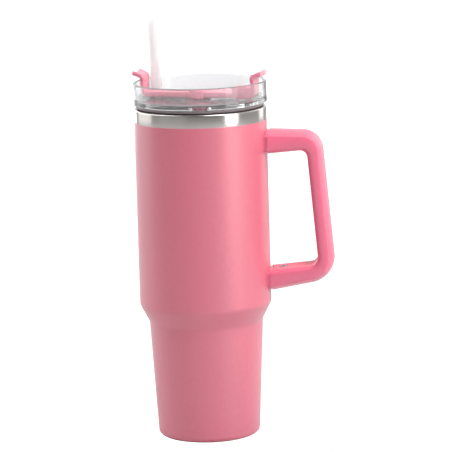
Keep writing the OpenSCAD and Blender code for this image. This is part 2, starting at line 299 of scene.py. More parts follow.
def makeTurningGroup():
    # Lines round the axis, as a lathe or a polishing wheel leaves them: noise on a height stretched far
    # more than the sideways places, so that it changes along Z and hardly around.
    group, source, sink = newGroup("turningLines", {
        "Lines": 6000.0, "Around": 12.0, "Depth": 0.1, "Height": 0.00002})
    place = group.nodes.new("ShaderNodeTexCoord")
    stretch = group.nodes.new("ShaderNodeCombineXYZ")
    scale = nodeOf(group, "ShaderNodeVectorMath", operation="MULTIPLY")
    noise = nodeOf(group, "ShaderNodeTexNoise", Scale=1.0, Detail=3.0)
    link = group.links.new
    link(source.outputs["Around"], stretch.inputs["X"])
    link(source.outputs["Around"], stretch.inputs["Y"])
    link(source.outputs["Lines"], stretch.inputs["Z"])
    link(place.outputs["Object"], scale.inputs[0])
    link(stretch.outputs["Vector"], scale.inputs[1])
    link(scale.outputs["Vector"], noise.inputs["Vector"])
    groupOutputs(group, source, sink, noise.outputs["Fac"])
    return group


grainGroup = makeGrainGroup()
turningGroup = makeTurningGroup()
grainSpan, lineSpan = (0.35, 0.65), (0.3, 0.7)    # the part of the noise's range that shows


def shade(sRgb):
    # A screen colour, 0 to 255, as the linear colour that the shader wants.
    c = np.asarray(sRgb, float) / 255
    linear = np.where(c <= 0.04045, c / 12.92, ((c + 0.055) / 1.055) ** 2.4)
    return (*linear.tolist(), 1.0)


def newMaterial(name, fixed):
    # A material with one Principled shader, whose unchanging values are set on its own sockets.
    material = bpy.data.materials.new(name)
    material.use_nodes = True
    tree = material.node_tree
    surface = tree.nodes["Principled BSDF"]
    for key, value in fixed.items():
        surface.inputs[key].default_value = value
    return material, tree, surface


def groupNode(tree, group, values):
    node = tree.nodes.new("ShaderNodeGroup")
    node.node_tree = group
    for key, value in values.items():
        node.inputs[key].default_value = value
    return node


def remap(tree, source, low, high, outLow, outHigh):
    node = nodeOf(tree, "ShaderNodeMapRange")
    for key, value in zip(("From Min", "From Max", "To Min", "To Max"), (low, high, outLow, outHigh)):
        node.inputs[key].default_value = value
    tree.links.new(source, node.inputs["Value"])
    return node.outputs["Result"]


def blendColours(tree, mask, first, second):
    node = nodeOf(tree, "ShaderNodeMix", data_type="RGBA")
    node.inputs[6].default_value, node.inputs[7].default_value = first, second
    tree.links.new(mask, node.inputs[0])
    return node.outputs[2]


def reliefMaterial(name, colours, roughness, fixed, group, values, span):
    # Colour and roughness drift between two close values with the relief, which also bumps the surface.
    material, tree, surface = newMaterial(name, fixed)
    relief = groupNode(tree, group, values)
    mask = remap(tree, relief.outputs["Mask"], *span, 0.0, 1.0)
    colour = blendColours(tree, mask, shade(colours[0]), shade(colours[1]))
    tree.links.new(colour, surface.inputs["Base Color"])
    tree.links.new(remap(tree, mask, 0, 1, *roughness), surface.inputs["Roughness"])
    tree.links.new(relief.outputs["Normal"], surface.inputs["Normal"])
    return material


def grainedMaterial(name, colours, roughness, grain, fixed):
    # Paint, plastic, rubber or plain metal with a fine grain.
    return reliefMaterial(name, colours, roughness, fixed, grainGroup, grain, grainSpan)


def turnedMetal(name, colours, roughness, lines):
    # Metal with fine lines round the axis, in its relief, its roughness and faintly in its colour.
    return reliefMaterial(name, colours, roughness, {"Metallic": 1.0}, turningGroup, lines, lineSpan)


# Vessel: painted wall, rim band, inner cup and base.

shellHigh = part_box("outer_shell")[1]
bandLow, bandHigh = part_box("rim_band")
linerLow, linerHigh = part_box("inner_liner")
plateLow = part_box("base_plate")[0]

wallShape = {
    "standRadius": 30 * mm,       # inside of the ring that the tumbler stands on
    "footRadius": 38.6 * mm,
    "footCorner": 4.5 * mm,
    "shoulderLowRadius": 43.3 * mm,
    "shoulderLow": 88.9 * mm,
    "shoulderHigh": 102.3 * mm,
    "shoulderBend": 10 * mm,
    "paintEdge": 0.12 * mm,       # rounding of the paint where the bare band begins
    "paintStands": 0.15 * mm,     # how far the painted wall stands out from the bare band
    "floorGap": 0.2 * mm,
    "thickness": 0.6 * mm,
    "linerInset": 3.6 * mm,
    "linerThickness": 0.5 * mm,
    "linerCorner": 7 * mm,
}

paintLook = {
    "colours": ((217, 100, 122), (213, 96, 118)),
    "roughness": (0.42, 0.48),
    "grain": {"Wave Scale": 260.0, "Grain Scale": 1700.0, "Grain Share": 0.55, "Depth": 0.22,
              "Height": 0.00004},
    "fixed": {"Coat Weight": 0.9, "Coat Roughness": 0.36, "IOR": 1.75},
}

waistRadius = shellHigh.x
topRadius = bandHigh.x + wallShape["paintStands"]


def bodyRadius(z):
    # The straight body widens evenly from the rim down to the shoulder.
    share = (bandHigh.z - z) / (bandHigh.z - wallShape["shoulderHigh"])
    return topRadius + (waistRadius - topRadius) * share


def wallLine(inset, low, corner, top):
    # Foot corner, tapered foot, shoulder with two bends, straight body; all moved in by inset.
    s = wallShape
    points = [
        (s["standRadius"], low), (s["footRadius"] - inset, low),
        (s["shoulderLowRadius"] - inset, s["shoulderLow"]), (waistRadius - inset, s["shoulderHigh"]),
        (bodyRadius(top) - inset, top),
    ]
    return roundedLine(points, [0, corner, s["shoulderBend"], s["shoulderBend"], 0], 14)


def makeShell():
    # The painted wall: its outer line up, a small rounded paint edge, and its inner line back down.
    s = wallShape
    top, edge = shellHigh.z, s["paintEdge"]
    outer = wallLine(0, 0, s["footCorner"], top - edge)
    lip = roundedLine(
        [outer[-1], (outer[-1][0], top), (outer[-1][0] - s["thickness"], top)], [0, edge * 0.9, 0], 5)
    thick = s["thickness"]
    inner = wallLine(thick, thick + s["floorGap"], s["footCorner"] - thick, top)[::-1]
    paint = grainedMaterial("powderCoat", **paintLook)
    mesh = turned("paintedWall", np.concatenate([outer, lip[1:], inner[1:]]))
    addPiece(mesh, "vessel", paint, ["outer_shell"])


makeShell()

bandShape = {
    "lap": 0.6 * mm,              # thickness at its lower edge
    "wall": 0.8 * mm,
    "bends": (0.05, 0.08, 1.0, 0.1, 0.1, 0.5),   # mm
}

bandLook = {
    "colours": ((214, 209, 206), (200, 195, 192)),
    "roughness": (0.13, 0.20),
    "lines": {"Lines": 5200.0, "Around": 10.0, "Depth": 0.35, "Height": 0.00001},
}


def makeBand():
    # Bare steel: straight outside, a full round roll at the rim, then flat in to the inner cup.
    r, low, high = bandHigh.x, bandLow.z, bandHigh.z
    wall = bandShape["wall"]
    inner = topRadius - wallShape["linerInset"]
    points = [
        (r - bandShape["lap"], low), (r, low), (r, high), (inner, high), (inner, high - wall),
        (r - wall, high - wall),
    ]
    line = roundedLine(points, np.array(bandShape["bends"]) * mm, 8, closed=True)
    steel = turnedMetal("rimSteel", **bandLook)
    addPiece(turned("rimBand", line), "vessel", steel, ["rim_band"])


makeBand()

linerLook = {
    "colours": ((206, 205, 203), (188, 187, 186)),
    "roughness": (0.22, 0.32),
    "lines": {"Lines": 1500.0, "Around": 8.0, "Depth": 0.3, "Height": 0.00002},
}


def makeLiner():
    # The inner cup: down its outside, across the floor's middle and back up its inside.
    s = wallShape
    low, top = linerLow.z, linerHigh.z
    thick = s["linerThickness"]
    outer = wallLine(s["linerInset"], low, s["linerCorner"], top)
    inner = wallLine(s["linerInset"] + thick, low + thick, s["linerCorner"] - thick, top)[::-1]
    middle = np.array([[0.0, low + thick], [0.0, low]])
    line = np.concatenate([outer, inner, middle])
    steel = turnedMetal("linerSteel", **linerLook)
    addPiece(turned("innerCup", line, 192), "vessel", steel, ["inner_liner"])


makeLiner()

baseShape = {
    "thickness": 0.8 * mm,
    "ringDepth": 0.6 * mm,        # height of the pressed ring
    "radii": (33.4, 27.6, 26.6, 22.4, 21.6, 20.4, 19.6, 3.0),   # mm, from the foot ring inwards
    "bends": (0, 1.2, 1.2, 0.5, 0.5, 0.5, 0.5, 0),   # mm
    "middle": 2.2 * mm,
    "capRise": 0.3 * mm,          # height of the cap's dimple
    "capSteps": (0.55, 0.62),     # shares of the cap's radius where the dimple's side begins and ends
    "capBends": (0, 0.4, 0.4, 0.5, 0.1, 0),   # mm
}

baseLook = {
    "colours": ((196, 195, 193), (176, 175, 174)),
    "roughness": (0.24, 0.36),
    "lines": {"Lines": 1200.0, "Around": 900.0, "Depth": 0.3, "Height": 0.00002},
}


def makeBase():
    # Stamped bottom: a dish up from the foot ring, with a pressed ring, and a thin cap in the middle.
    s = baseShape
    capLow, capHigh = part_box("base_cap")
    seat, flat = plateLow.z, capHigh.z
    thick, pressed = s["thickness"], flat - s["ringDepth"]
    heights = [seat, seat, flat, flat, pressed, pressed, flat, flat]
    line = np.column_stack([np.array(s["radii"]) * mm, heights])
    under = roundedLine(line, np.array(s["bends"]) * mm, 6)
    over = under[::-1] + (0, thick)
    steel = turnedMetal("baseSteel", **baseLook)
    middle = np.array([[s["middle"], flat], [s["middle"], flat + thick]])
    profile = np.concatenate([under, middle, over])
    addPiece(turned("stampedBase", profile, 192), "vessel", steel, ["base_plate"])
    r, low, high = capHigh.x, capLow.z, capHigh.z
    inStep, outStep = s["capSteps"]
    raised = low + s["capRise"]
    points = [(0, raised), (r * inStep, raised), (r * outStep, low), (r, low), (r, high), (0, high)]
    cap = roundedLine(points, np.array(s["capBends"]) * mm, 6)
    cover = turnedMetal("capSteel", **baseLook)
    addPiece(turned("baseCap", cap, 128), "vessel", cover, ["base_cap"])


makeBase()
print("vessel ready")

# Handle: a swept frame with a bed for its cover, and a pad behind each arm.

handleShape = {
    "width": 27 * mm,
    "rootX": 44 * mm,             # both outlines run in to here, inside the wall
    "outer": [(44, 234.85), (91.2, 232.87), (100.6, 119.68), (44, 109.41)],
    "inner": [(44, 216.1), (80.0, 219.0), (87.1, 131.4), (44, 127.5)],
    "outerBend": (15.5, 20.5),
    "innerBend": (5.5, 6.5),
    "crown": 4.5 * mm,            # how far the outer side swells between its long edges
    "outerEdge": 1.0 * mm,        # rounding of the outer long edges
    "innerEdge": 4.3 * mm,        # rounding of the long edges on the finger side
    "bed": (9.03 * mm, 2.45 * mm),   # half width and depth of the hollow for the cover
    "padThickness": 2.2 * mm,
    "padInset": 0.7 * mm,
    "padGap": 0.03 * mm,          # between the pad and the wall
    "domeTrim": 0.35,             # share of the outer edge's rounding where the swell stops short
    "sharpAngle": 33,
    "reach": 22 * mm,             # length of arm over which its lines settle on to the wall's curve
}

handleLook = {
    "colours": ((233, 107, 137), (230, 102, 132)),
    "roughness": (0.36, 0.42),
    "grain": {"Wave Scale": 300.0, "Grain Scale": 1900.0, "Grain Share": 0.5, "Depth": 0.18,
              "Height": 0.00004},
    "fixed": {"Coat Weight": 0.6, "Coat Roughness": 0.3, "IOR": 1.58, "Subsurface Weight": 0.08,
              "Subsurface Scale": 0.004},
}

coverLook = {
    "colours": ((236, 98, 126), (231, 90, 119)),
    "roughness": (0.45, 0.55),
    "grain": {"Wave Scale": 900.0, "Grain Scale": 3200.0, "Grain Share": 0.7, "Depth": 0.4,
              "Height": 0.00006},
    "fixed": {"IOR": 1.45, "Sheen Weight": 0.1},
}


def cornerLine(points, bends, counts):
    # The C-shaped line in five stretches with set numbers of points: arm, bend, grip, bend, arm.
    p = np.array(points) * mm
    line = []
    arcs = []
    for k, bend in zip((1, 2), bends):
        arc = roundedLine([p[k - 1], p[k], p[k + 1]], [0, bend * mm, 0], counts[1] - 1)[1:-1]
        arcs.append(arc)
    stops = [p[0], arcs[0][0], arcs[0][-1], arcs[1][0], arcs[1][-1], p[3]]
    for k in range(5):
        if k in (1, 3):
            line.append(arcs[k // 2][:-1])
        else:
            count = counts[0] if k != 2 else counts[2]
            t = np.linspace(0, 1, count + 1)[:-1, None]
            line.append(stops[k] * (1 - t) + stops[k + 1] * t)
    line.append(p[3][None])
    return np.concatenate(line)


def wallAt(y, gap):
    # Distance of the wall from the axis plane at sideways place y, with a gap added to its radius.
    return np.sqrt((waistRadius + gap) ** 2 - y ** 2)


def handleSection(inset, bed=None):
    # The section as columns: place across (Y), share (0 on the finger side, 1 on the outer side) and
    # offset from that side's line towards the outside. The outer side is a circle's arc of the crown's
    # height, its edges and the finger side's are small arcs, and the two flanks are straight.
    s = handleShape
    half, crown = s["width"] / 2 - inset, s["crown"]
    edge, fingerEdge = s["outerEdge"], s["innerEdge"]
    radius = (half ** 2 + crown ** 2) / (2 * crown)
    steepest = math.asin((half - edge * s["domeTrim"]) / radius)
    swing = np.linspace(steepest, -steepest, 27)
    domeY, domeUp = radius * np.sin(swing), radius * (np.cos(swing) - 1)
    turn = np.linspace(0, math.pi / 2, 8)
    roundY = half - fingerEdge + fingerEdge * np.sin(turn)
    roundUp = fingerEdge * (1 - np.cos(turn))
    flank = np.array([half, domeUp[0] - edge])
    y = np.concatenate([roundY, flank[:1], domeY, -flank[:1], -roundY[::-1]])
    share = np.concatenate([0 * roundY, [1], 1 + 0 * domeY, [1], 0 * roundY])
    up = np.concatenate([roundUp, flank[1:], domeUp, flank[1:], roundUp[::-1]])
    up += inset * (1 - 2 * share)
    if bed:
        # The finger side's flat is sunk between two steps, which begin and end the section.
        edgeY, depth = bed
        y = np.concatenate([[edgeY, edgeY], y, [-edgeY, -edgeY]])
        share = np.concatenate([[0, 0], share, [0, 0]])
        up = np.concatenate([[depth, 0], up, [0, depth]])
    return y, share, up


def sweepHandle(name, outerLine, innerLine, section, gap):
    # Each station has a point on the finger side's line and one on the outer line, and the section is
    # set between them. Near the wall each long line is slid along the arm, on its own slope, so that it
    # starts on the wall's curve.
    s = handleShape
    across, share, up = section
    outward = outerLine - innerLine
    outward = outward / np.linalg.norm(outward, axis=1)[:, None]
    flat = innerLine[:, None] * (1 - share[:, None]) + outerLine[:, None] * share[:, None]
    flat = flat + outward[:, None] * up[:, None]
    x, z = flat[..., 0], flat[..., 1]
    y = np.broadcast_to(across, x.shape)
    fade = np.clip(1 - (x - s["rootX"]) / s["reach"], 0, 1)
    slide = (wallAt(y, gap) - s["rootX"]) * fade
    slope = np.where(fade > 0, np.gradient(z, axis=0) / (np.gradient(x, axis=0) + 1e-12), 0)
    grid = np.stack([x + slide, y, z + slide * slope], -1)
    return gridMesh(name, grid, capEnds=True)


def padMesh(name, outerEnds, innerEnds):
    # A thin pad with the arm's section, a little smaller, between the wall's curve and the arm's end:
    # rings at the wall, half way and at the pad's thickness from it, on the arm's own two lines.
    s = handleShape
    across, share, up = handleSection(s["padInset"])
    rings = []
    sign = math.copysign(1, outerEnds[0][1] - innerEnds[0][1])
    for gap in (s["padGap"], s["padThickness"] * 0.5, s["padThickness"]):
        x = wallAt(across, gap)
        lines = [np.interp(x, [e[0][0] * mm, e[1][0] * mm], [e[0][1] * mm, e[1][1] * mm])
                 for e in (innerEnds, outerEnds)]
        z = lines[0] * (1 - share) + lines[1] * share + sign * up
        rings.append(np.stack([x, across, z], -1))
    return gridMesh(name, np.stack(rings), capEnds=True)


def makeHandle():
    s = handleShape
    counts = (26, 18, 44)
    outer = cornerLine(s["outer"], s["outerBend"], counts)
    inner = cornerLine(s["inner"], s["innerBend"], counts)
    paint = grainedMaterial("handlePaint", **handleLook)
    frameMesh = sweepHandle(
        "handleFrame", outer, inner, handleSection(0, s["bed"]), s["padThickness"])
    addPiece(frameMesh, "vessel", paint, ["handle_frame"], s["sharpAngle"])
    upper = padMesh("upperPad", s["outer"][:2], s["inner"][:2])
    lower = padMesh("lowerPad", s["outer"][:1:-1], s["inner"][:1:-1])
    for pad in (upper, lower):
        addPiece(pad, "vessel", paint, ["arm_pads"], s["sharpAngle"])


makeHandle()
print("handle ready")

# Lid: clear crown, deck and skirt, with the dark seal.

lidLow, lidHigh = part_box("lid_body")
sealLow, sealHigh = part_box("lid_seal")
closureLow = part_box("closure")[0]

lidShape = {
    "crownRadius": 50.4 * mm,
    "crownWall": 2.3 * mm,
    "flangeBulge": 0.27 * mm,
    "deckTop": bandHigh.z + 5.5 * mm,
    "deckThickness": 2.5 * mm,
    "skirtRadius": 43.6 * mm,
    "skirtWall": 2.2 * mm,
    "shaftHole": 5.1 * mm,
    "bossRadius": 10 * mm,
    "bossDepth": 2.5 * mm,
    "grooveLow": 4 * mm,          # above the skirt's lower edge
    "grooveTall": 6 * mm,
    "turn": -12.0,                # degrees, direction of the drink hole
    "drinkAt": 34 * mm,
    "strawTurn": 158.4,           # degrees
    "strawAt": 36 * mm,
    "strawLean": 2.6,             # degrees
    "strawHole": 4.3 * mm,
    "drinkSlot": (3.5 * mm, 3 * mm),     # radius of its ends, and half the length between them
    "ventAt": 32 * mm,
    "ventSlot": (1 * mm, 0.01 * mm),
}


def clearPlastic(name, tint, roughness, ior, clarity, streaks):
    # Clear moulded plastic: a plain transmission, with faint flow waviness in its relief.
    material, tree, surface = newMaterial(
        name, {"Transmission Weight": clarity, "IOR": ior, "Metallic": 0.0, "Base Color": shade(tint)})
    relief = groupNode(tree, grainGroup, streaks)
    tree.links.new(remap(tree, relief.outputs["Mask"], 0.3, 0.7, *roughness), surface.inputs["Roughness"])
    tree.links.new(relief.outputs["Normal"], surface.inputs["Normal"])
    return material


lidLook = {
    "tint": (250, 251, 252),
    "roughness": (0.01, 0.03),
    "ior": 1.33,
    "clarity": 0.93,
    "streaks": {"Wave Scale": 70.0, "Grain Scale": 700.0, "Grain Share": 0.15, "Depth": 0.25,
                "Height": 0.0001},
}


def strawLine():
    # Where the straw crosses the deck's top, its direction, and two directions square to it.
    s = lidShape
    turn, tilt = math.radians(s["strawTurn"]), math.radians(s["strawLean"])
    outwardly = np.array([math.cos(turn), math.sin(turn), 0])
    axis = math.sin(tilt) * outwardly + np.array([0, 0, math.cos(tilt)])
    sideways = np.array([-math.sin(turn), math.cos(turn), 0])
    start = outwardly * s["strawAt"] + np.array([0, 0, s["deckTop"]])
    return start, axis, sideways, np.cross(axis, sideways)


def leaningBar(name, low, high, radius, segments=64):
    # A closed round bar along the straw's line, from low to high measured along it from the deck's top.
    start, axis, sideways, third = strawLine()
    angle = np.linspace(0, 2 * math.pi, segments, endpoint=False)[None, :, None]
    ring = (sideways * np.cos(angle) + third * np.sin(angle)) * radius
    heights = np.array([low, high])[:, None, None] * axis
    return gridMesh(name, start + heights + ring, capEnds=True)


def slotBar(name, turn, at, radius, halfLength, low, high):
    # A closed bar with a slot's outline: two half circles joined by straight sides, across the direction.
    direction = math.radians(turn)
    angle = np.linspace(0, math.pi, 25)
    upper = np.stack([np.cos(angle) * radius, np.sin(angle) * radius + halfLength], 1)
    lower = np.stack([-np.cos(angle) * radius, -np.sin(angle) * radius - halfLength], 1)
    outline = np.concatenate([upper, lower]) + (at, 0)
    c, s = math.cos(direction), math.sin(direction)
    x = outline[:, 0] * c - outline[:, 1] * s
    y = outline[:, 0] * s + outline[:, 1] * c
    grid = np.stack([np.stack([x, y, np.full_like(x, z)], 1) for z in (low, high)])
    return gridMesh(name, grid, capEnds=True)


def makeLid():
    # One closed outline: crown wall with a round rim, a fillet down to the deck, the bore, the boss
    # below, the skirt with the seal's groove, and back out under the flange.
    s = lidShape
    under = s["deckTop"] - s["deckThickness"]
    flange, top, low = sealHigh.z, lidHigh.z, lidLow.z
    r, wall = s["crownRadius"], s["crownWall"]
    skirt, skirtIn = s["skirtRadius"], s["skirtRadius"] - s["skirtWall"]
    groove = low + s["grooveLow"]
    points = [
        (s["shaftHole"], s["deckTop"]), (r - wall, s["deckTop"]), (r - wall, top), (r, top),
        (r + 0.02 * mm, flange + 5 * mm), (r + s["flangeBulge"], flange + 2 * mm),
        (r + s["flangeBulge"], flange), (skirt, flange),
        (skirt, groove + s["grooveTall"]), (skirt - mm, groove + s["grooveTall"]), (skirt - mm, groove),
        (skirt, groove), (skirt, low), (skirtIn, low), (skirtIn, under),
        (s["bossRadius"] + 0.5 * mm, under), (s["bossRadius"], under - s["bossDepth"]),
        (s["shaftHole"], under - s["bossDepth"]),
    ]
    bends = [0.2, 2.5, 1.1, 1.1, 4, 2, 1.2, 0, 0.1, 0.1, 0.1, 0.1, 0.5, 0.3, 1.0, 0.6, 0.4, 0.2]
    line = roundedLine(points, np.array(bends) * mm, 8, closed=True)
    mesh = outward(turned("clearLid", line, 224))
    reach = (under - mm, s["deckTop"] + mm)
    cuts = [
        slotBar("drinkCut", s["turn"], s["drinkAt"], *s["drinkSlot"], *reach),
        leaningBar("strawCut", -6 * mm, 6 * mm, s["strawHole"]),
        slotBar("ventCut", s["turn"] + 90, s["ventAt"], *s["ventSlot"], *reach),
    ]
    mesh = booleanMesh(mesh, [outward(c) for c in cuts], "DIFFERENCE")
    addPiece(mesh, "lid", clearPlastic("clearLidPlastic", **lidLook), ["lid_body"], 35)


makeLid()

sealLook = {
    "colours": ((138, 127, 130), (126, 116, 119)),
    "roughness": (0.42, 0.5),
    "grain": {"Wave Scale": 500.0, "Grain Scale": 2400.0, "Grain Share": 0.6, "Depth": 0.2,
              "Height": 0.00004},
    "fixed": {"IOR": 1.42},
}


def makeSeal():
    # An L-shaped ring: a flange under the crown, a web down the skirt, and two lips towards the cup.
    s = lidShape
    low, top, edge = sealLow.z, sealHigh.z, sealHigh.x
    lip = bodyRadius(bandHigh.z) - wallShape["linerInset"] - wallShape["linerThickness"] - 0.4 * mm
    web, back = s["skirtRadius"] + 0.6 * mm, s["skirtRadius"] - mm
    points = [
        (back, low), (web, low), (lip, low + 0.9 * mm), (lip, low + 1.5 * mm), (web, low + 1.7 * mm),
        (web, low + 3 * mm), (lip, low + 3.9 * mm), (lip, low + 4.5 * mm), (web, low + 4.7 * mm),
        (web, bandHigh.z + 0.3 * mm), (edge - 2 * mm, bandHigh.z + 0.3 * mm),
        (edge, bandHigh.z + 1.1 * mm), (edge, top), (s["skirtRadius"], top),
        (s["skirtRadius"], low + 5.7 * mm), (back, low + 5.7 * mm),
    ]
    bends = [0.1, 0.3, 0.25, 0.25, 0.4, 0.4, 0.25, 0.25, 0.5, 0.6, 0.8, 0.5, 0.4, 0.1, 0.1, 0.1]
    line = roundedLine(points, np.array(bends) * mm, 5, closed=True)
    silicone = grainedMaterial("sealSilicone", **sealLook)
    addPiece(turned("lidSeal", line), "lid", silicone, ["lid_seal"])


makeSeal()
print("lid ready")

# Closure: one strip from wing tip to wing tip, with a hub and a block.

closureShape = {
    "turn": lidShape["turn"],
    "armWidth": 15 * mm,
    "armLow": lidShape["deckTop"] + 1.2 * mm,
    "armThickness": 4.2 * mm,
    "riserRadius": 43.1 * mm,     # middle of the riser
    "riserThickness": 3.0 * mm,
    "bendRadius": 2.2 * mm,
    "wingWidth": 17 * mm,
    "wingThickness": 3.4 * mm,
    "wingBase": 18.3 * mm,        # middle of the wing above the deck where it leaves the riser
    "wingTip": (50.2 * mm, 19.2 * mm),   # middle of its end: radius, and height above the deck
    "wingStart": 11.4 * mm,       # above the arm's middle, where the strip begins to widen
    "hornOut": 2.2 * mm,          # how much further out and up each side of the tip runs
    "hornUp": 1.5 * mm,
    "edge": 0.9 * mm,
    "hubRadius": 9 * mm,
    "hubRise": 1.0 * mm,          # above the arm's top
    "hubBends": (0, 0.9, 0.6, 0.1, 0.1, 0.2, 0.6, 0),   # mm
    "grooveRadius": 7.5 * mm,     # of the washer's groove under the hub
    "shaftRadius": 5.0 * mm,
    "blockEdge": 0.9 * mm,
    "blockRadii": (27 * mm, 43 * mm),
    "blockTop": lidShape["deckTop"] + 10 * mm,
    "notch": (-4 * mm, 12 * mm),  # from the deck's top, along the straw
    "notchRadius": 4.7 * mm,
    "tipLength": 7 * mm,          # over which the tip's curve fades in
}

closureLook = {
    "colours": ((241, 147, 168), (238, 140, 162)),
    "roughness": (0.24, 0.32),
    "grain": {"Wave Scale": 200.0, "Grain Scale": 1500.0, "Grain Share": 0.3, "Depth": 0.12,
              "Height": 0.00005},
    "fixed": {"IOR": 1.49, "Subsurface Weight": 0.25, "Subsurface Scale": 0.006},
}


def smoothStep(t):
    t = np.clip(t, 0, 1)
    return t * t * (3 - 2 * t)


def withFill(section, corner, offset, fill):
    # Extra points along the two long sides of the section, between its corners, so that they can bow.
    count = len(section)
    side = np.sign(section[:, 0])
    breaks = [k for k in range(count) if side[k] != side[(k + 1) % count]]
    parts = []
    start = 0
    for k in breaks:
        parts.append((section[start:k + 1], corner[start:k + 1], offset[start:k + 1]))
        a, b = corner[k], corner[(k + 1) % count]
        share = (fill[:, None] + 1) / 2
        extra = a * (1 - share) + b * share
        parts.append((extra, extra, 0 * extra))
        start = k + 1
    if start < count:
        parts.append((section[start:], corner[start:], offset[start:]))
    return [np.concatenate([part[k] for part in parts]) for k in range(3)]


def makeStrip():
    # The strip's middle line lies in the plane of the arms: from a wing's tip, down the riser, along the
    # arm, and the same on the other side. Its section is a rounded rectangle across that line, whose width
    # grows smoothly above the crown; each tip runs out further at its two sides, as a parabola.
    s = closureShape
    deck = lidShape["deckTop"]
    armMiddle = s["armLow"] + s["armThickness"] / 2
    riser, tip = s["riserRadius"], s["wingTip"]
    half = [(0, armMiddle), (riser, armMiddle), (riser, deck + s["wingBase"]), (tip[0], deck + tip[1])]
    side = spaced(roundedLine(half, [0, 1.6 * mm, s["bendRadius"], 0], 14), 170)
    line = np.concatenate([side[::-1] * (-1, 1), side[1:]])
    step = np.gradient(line, axis=0)
    step /= np.linalg.norm(step, axis=1)[:, None]
    normal = np.stack([-step[:, 1], step[:, 0]], 1)
    height = line[:, 1] - armMiddle
    upright = smoothStep((np.abs(line[:, 0]) - (riser - 4 * mm)) / (4 * mm))
    flare = smoothStep((np.abs(line[:, 0]) - riser) / (2.5 * mm))
    thick = s["armThickness"] + (s["riserThickness"] - s["armThickness"]) * upright
    thick = thick + (s["wingThickness"] - s["riserThickness"]) * flare
    widen = smoothStep((height - s["wingStart"]) / (1.6 * mm))
    wide = s["armWidth"] + (s["wingWidth"] - s["armWidth"]) * widen
    edge = s["edge"]
    section = roundedBox(s["armWidth"] / 2, s["armThickness"] / 2, [edge] * 4, 6)
    corner = np.sign(section) * np.array([s["armWidth"] / 2, s["armThickness"] / 2])
    offset = section - corner
    fill = np.linspace(-1, 1, 13)[1:-1]
    section, corner, offset = withFill(section, corner, offset, fill)
    across = corner[None, :, 0] / s["armWidth"] * wide[:, None] + offset[None, :, 0]
    up = corner[None, :, 1] / s["armThickness"] * thick[:, None] + offset[None, :, 1]
    length = np.concatenate([[0], np.cumsum(np.linalg.norm(np.diff(line, axis=0), axis=1))])
    fromTip = np.minimum(length, length[-1] - length)
    reach = smoothStep(1 - fromTip / s["tipLength"])[:, None]
    bow = (across / (s["wingWidth"] / 2)) ** 2
    outwardStep = step * np.sign(line[:, 0] + 1e-12)[:, None]
    out = s["hornOut"] * (bow - 1) * reach
    u = line[:, None, 0] + normal[:, None, 0] * up + outwardStep[:, None, 0] * out
    z = line[:, None, 1] + normal[:, None, 1] * up + outwardStep[:, None, 1] * out
    z = z + s["hornUp"] * bow * reach
    grid = np.stack([u, across, z], -1)
    return outward(gridMesh("closureStrip", turnAbout(grid, s["turn"]), capEnds=True))


def turnAbout(grid, degrees):
    # The same points turned about the axis.
    c, s = math.cos(math.radians(degrees)), math.sin(math.radians(degrees))
    x, y, z = grid[..., 0], grid[..., 1], grid[..., 2]
    return np.stack([x * c - y * s, x * s + y * c, z], -1)


def softBlock(name, x, y, z, edge, turn):
    # A closed block between the three pairs of limits: rings of a rounded rectangle, drawn in at the two
    # ends along a quarter circle so that every edge is round.
    middle, halfX, halfY = (x[0] + x[1]) / 2, (x[1] - x[0]) / 2, (y[1] - y[0]) / 2
    angle = np.linspace(0, math.pi / 2, 6)
    inset = np.concatenate([edge * (1 - np.sin(angle)), edge * (1 - np.cos(angle))])
    heights = np.concatenate([z[0] + edge * (1 - np.cos(angle)), z[1] - edge * (1 - np.sin(angle))])
    rings = []
    for gap, level in zip(inset, heights):
        box = roundedBox(halfX - gap, halfY - gap, [edge * 1.2] * 4, 6) + (middle, (y[0] + y[1]) / 2)
        rings.append(np.column_stack([box, np.full(len(box), level)]))
    return outward(gridMesh(name, turnAbout(np.stack(rings), turn), capEnds=True))


def makeClosure():
    # The strip, the block over the drink hole and the turned hub as one solid, less the straw's notch.
    s = closureShape
    deck, width = lidShape["deckTop"], s["armWidth"] / 2
    strip = makeStrip()
    tall = (s["armLow"], s["blockTop"])
    block = softBlock("block", s["blockRadii"], (-width, width), tall, s["blockEdge"], s["turn"])
    hubTop = s["armLow"] + s["armThickness"] + s["hubRise"]
    r, groove, shaft = s["hubRadius"], s["grooveRadius"], s["shaftRadius"]
    points = [
        (0, hubTop), (r, hubTop), (r, deck + 0.5 * mm), (groove, deck + 0.5 * mm),
        (groove, deck + 1.1 * mm), (shaft, deck + 1.1 * mm), (shaft, closureLow.z), (0, closureLow.z),
    ]
    hubLine = roundedLine(points, np.array(s["hubBends"]) * mm, 6)
    hub = outward(turned("hub", hubLine, 128))
    mesh = booleanMesh(strip, [block, hub], "UNION")
    notch = leaningBar("notch", *s["notch"], s["notchRadius"])
    mesh = booleanMesh(mesh, [outward(notch)], "DIFFERENCE")
    mesh.name = "rotaryClosure"
    plastic = grainedMaterial("closurePlastic", **closureLook)
    addPiece(mesh, "closure", plastic, ["closure"], 40)


makeClosure()
print("closure ready")

strawShape = {
    "length": 306 * mm,
    "foot": 12 * mm,              # its lower end's height above the ground, along the upright
    "radius": 4.0 * mm,
    "wall": 0.8 * mm,
    "mouth": 0.39 * mm,           # rounding of both ends
    "rows": 60,
}

strawLook = {
    "tint": (252, 251, 251),
    "roughness": (0.30, 0.42),
    "ior": 1.2,
    "clarity": 0.78,
    "streaks": {"Wave Scale": 120.0, "Grain Scale": 1600.0, "Grain Share": 0.4, "Depth": 0.2,
                "Height": 0.00006},
}


def roundEnd(before, corner, after, last):
    # The rounded end of the wall, between one side's last points and the other side's first.
    bend = strawShape["mouth"]
    return roundedLine([before, corner, after, last], [0, bend, bend, 0], 6)[1:-1]


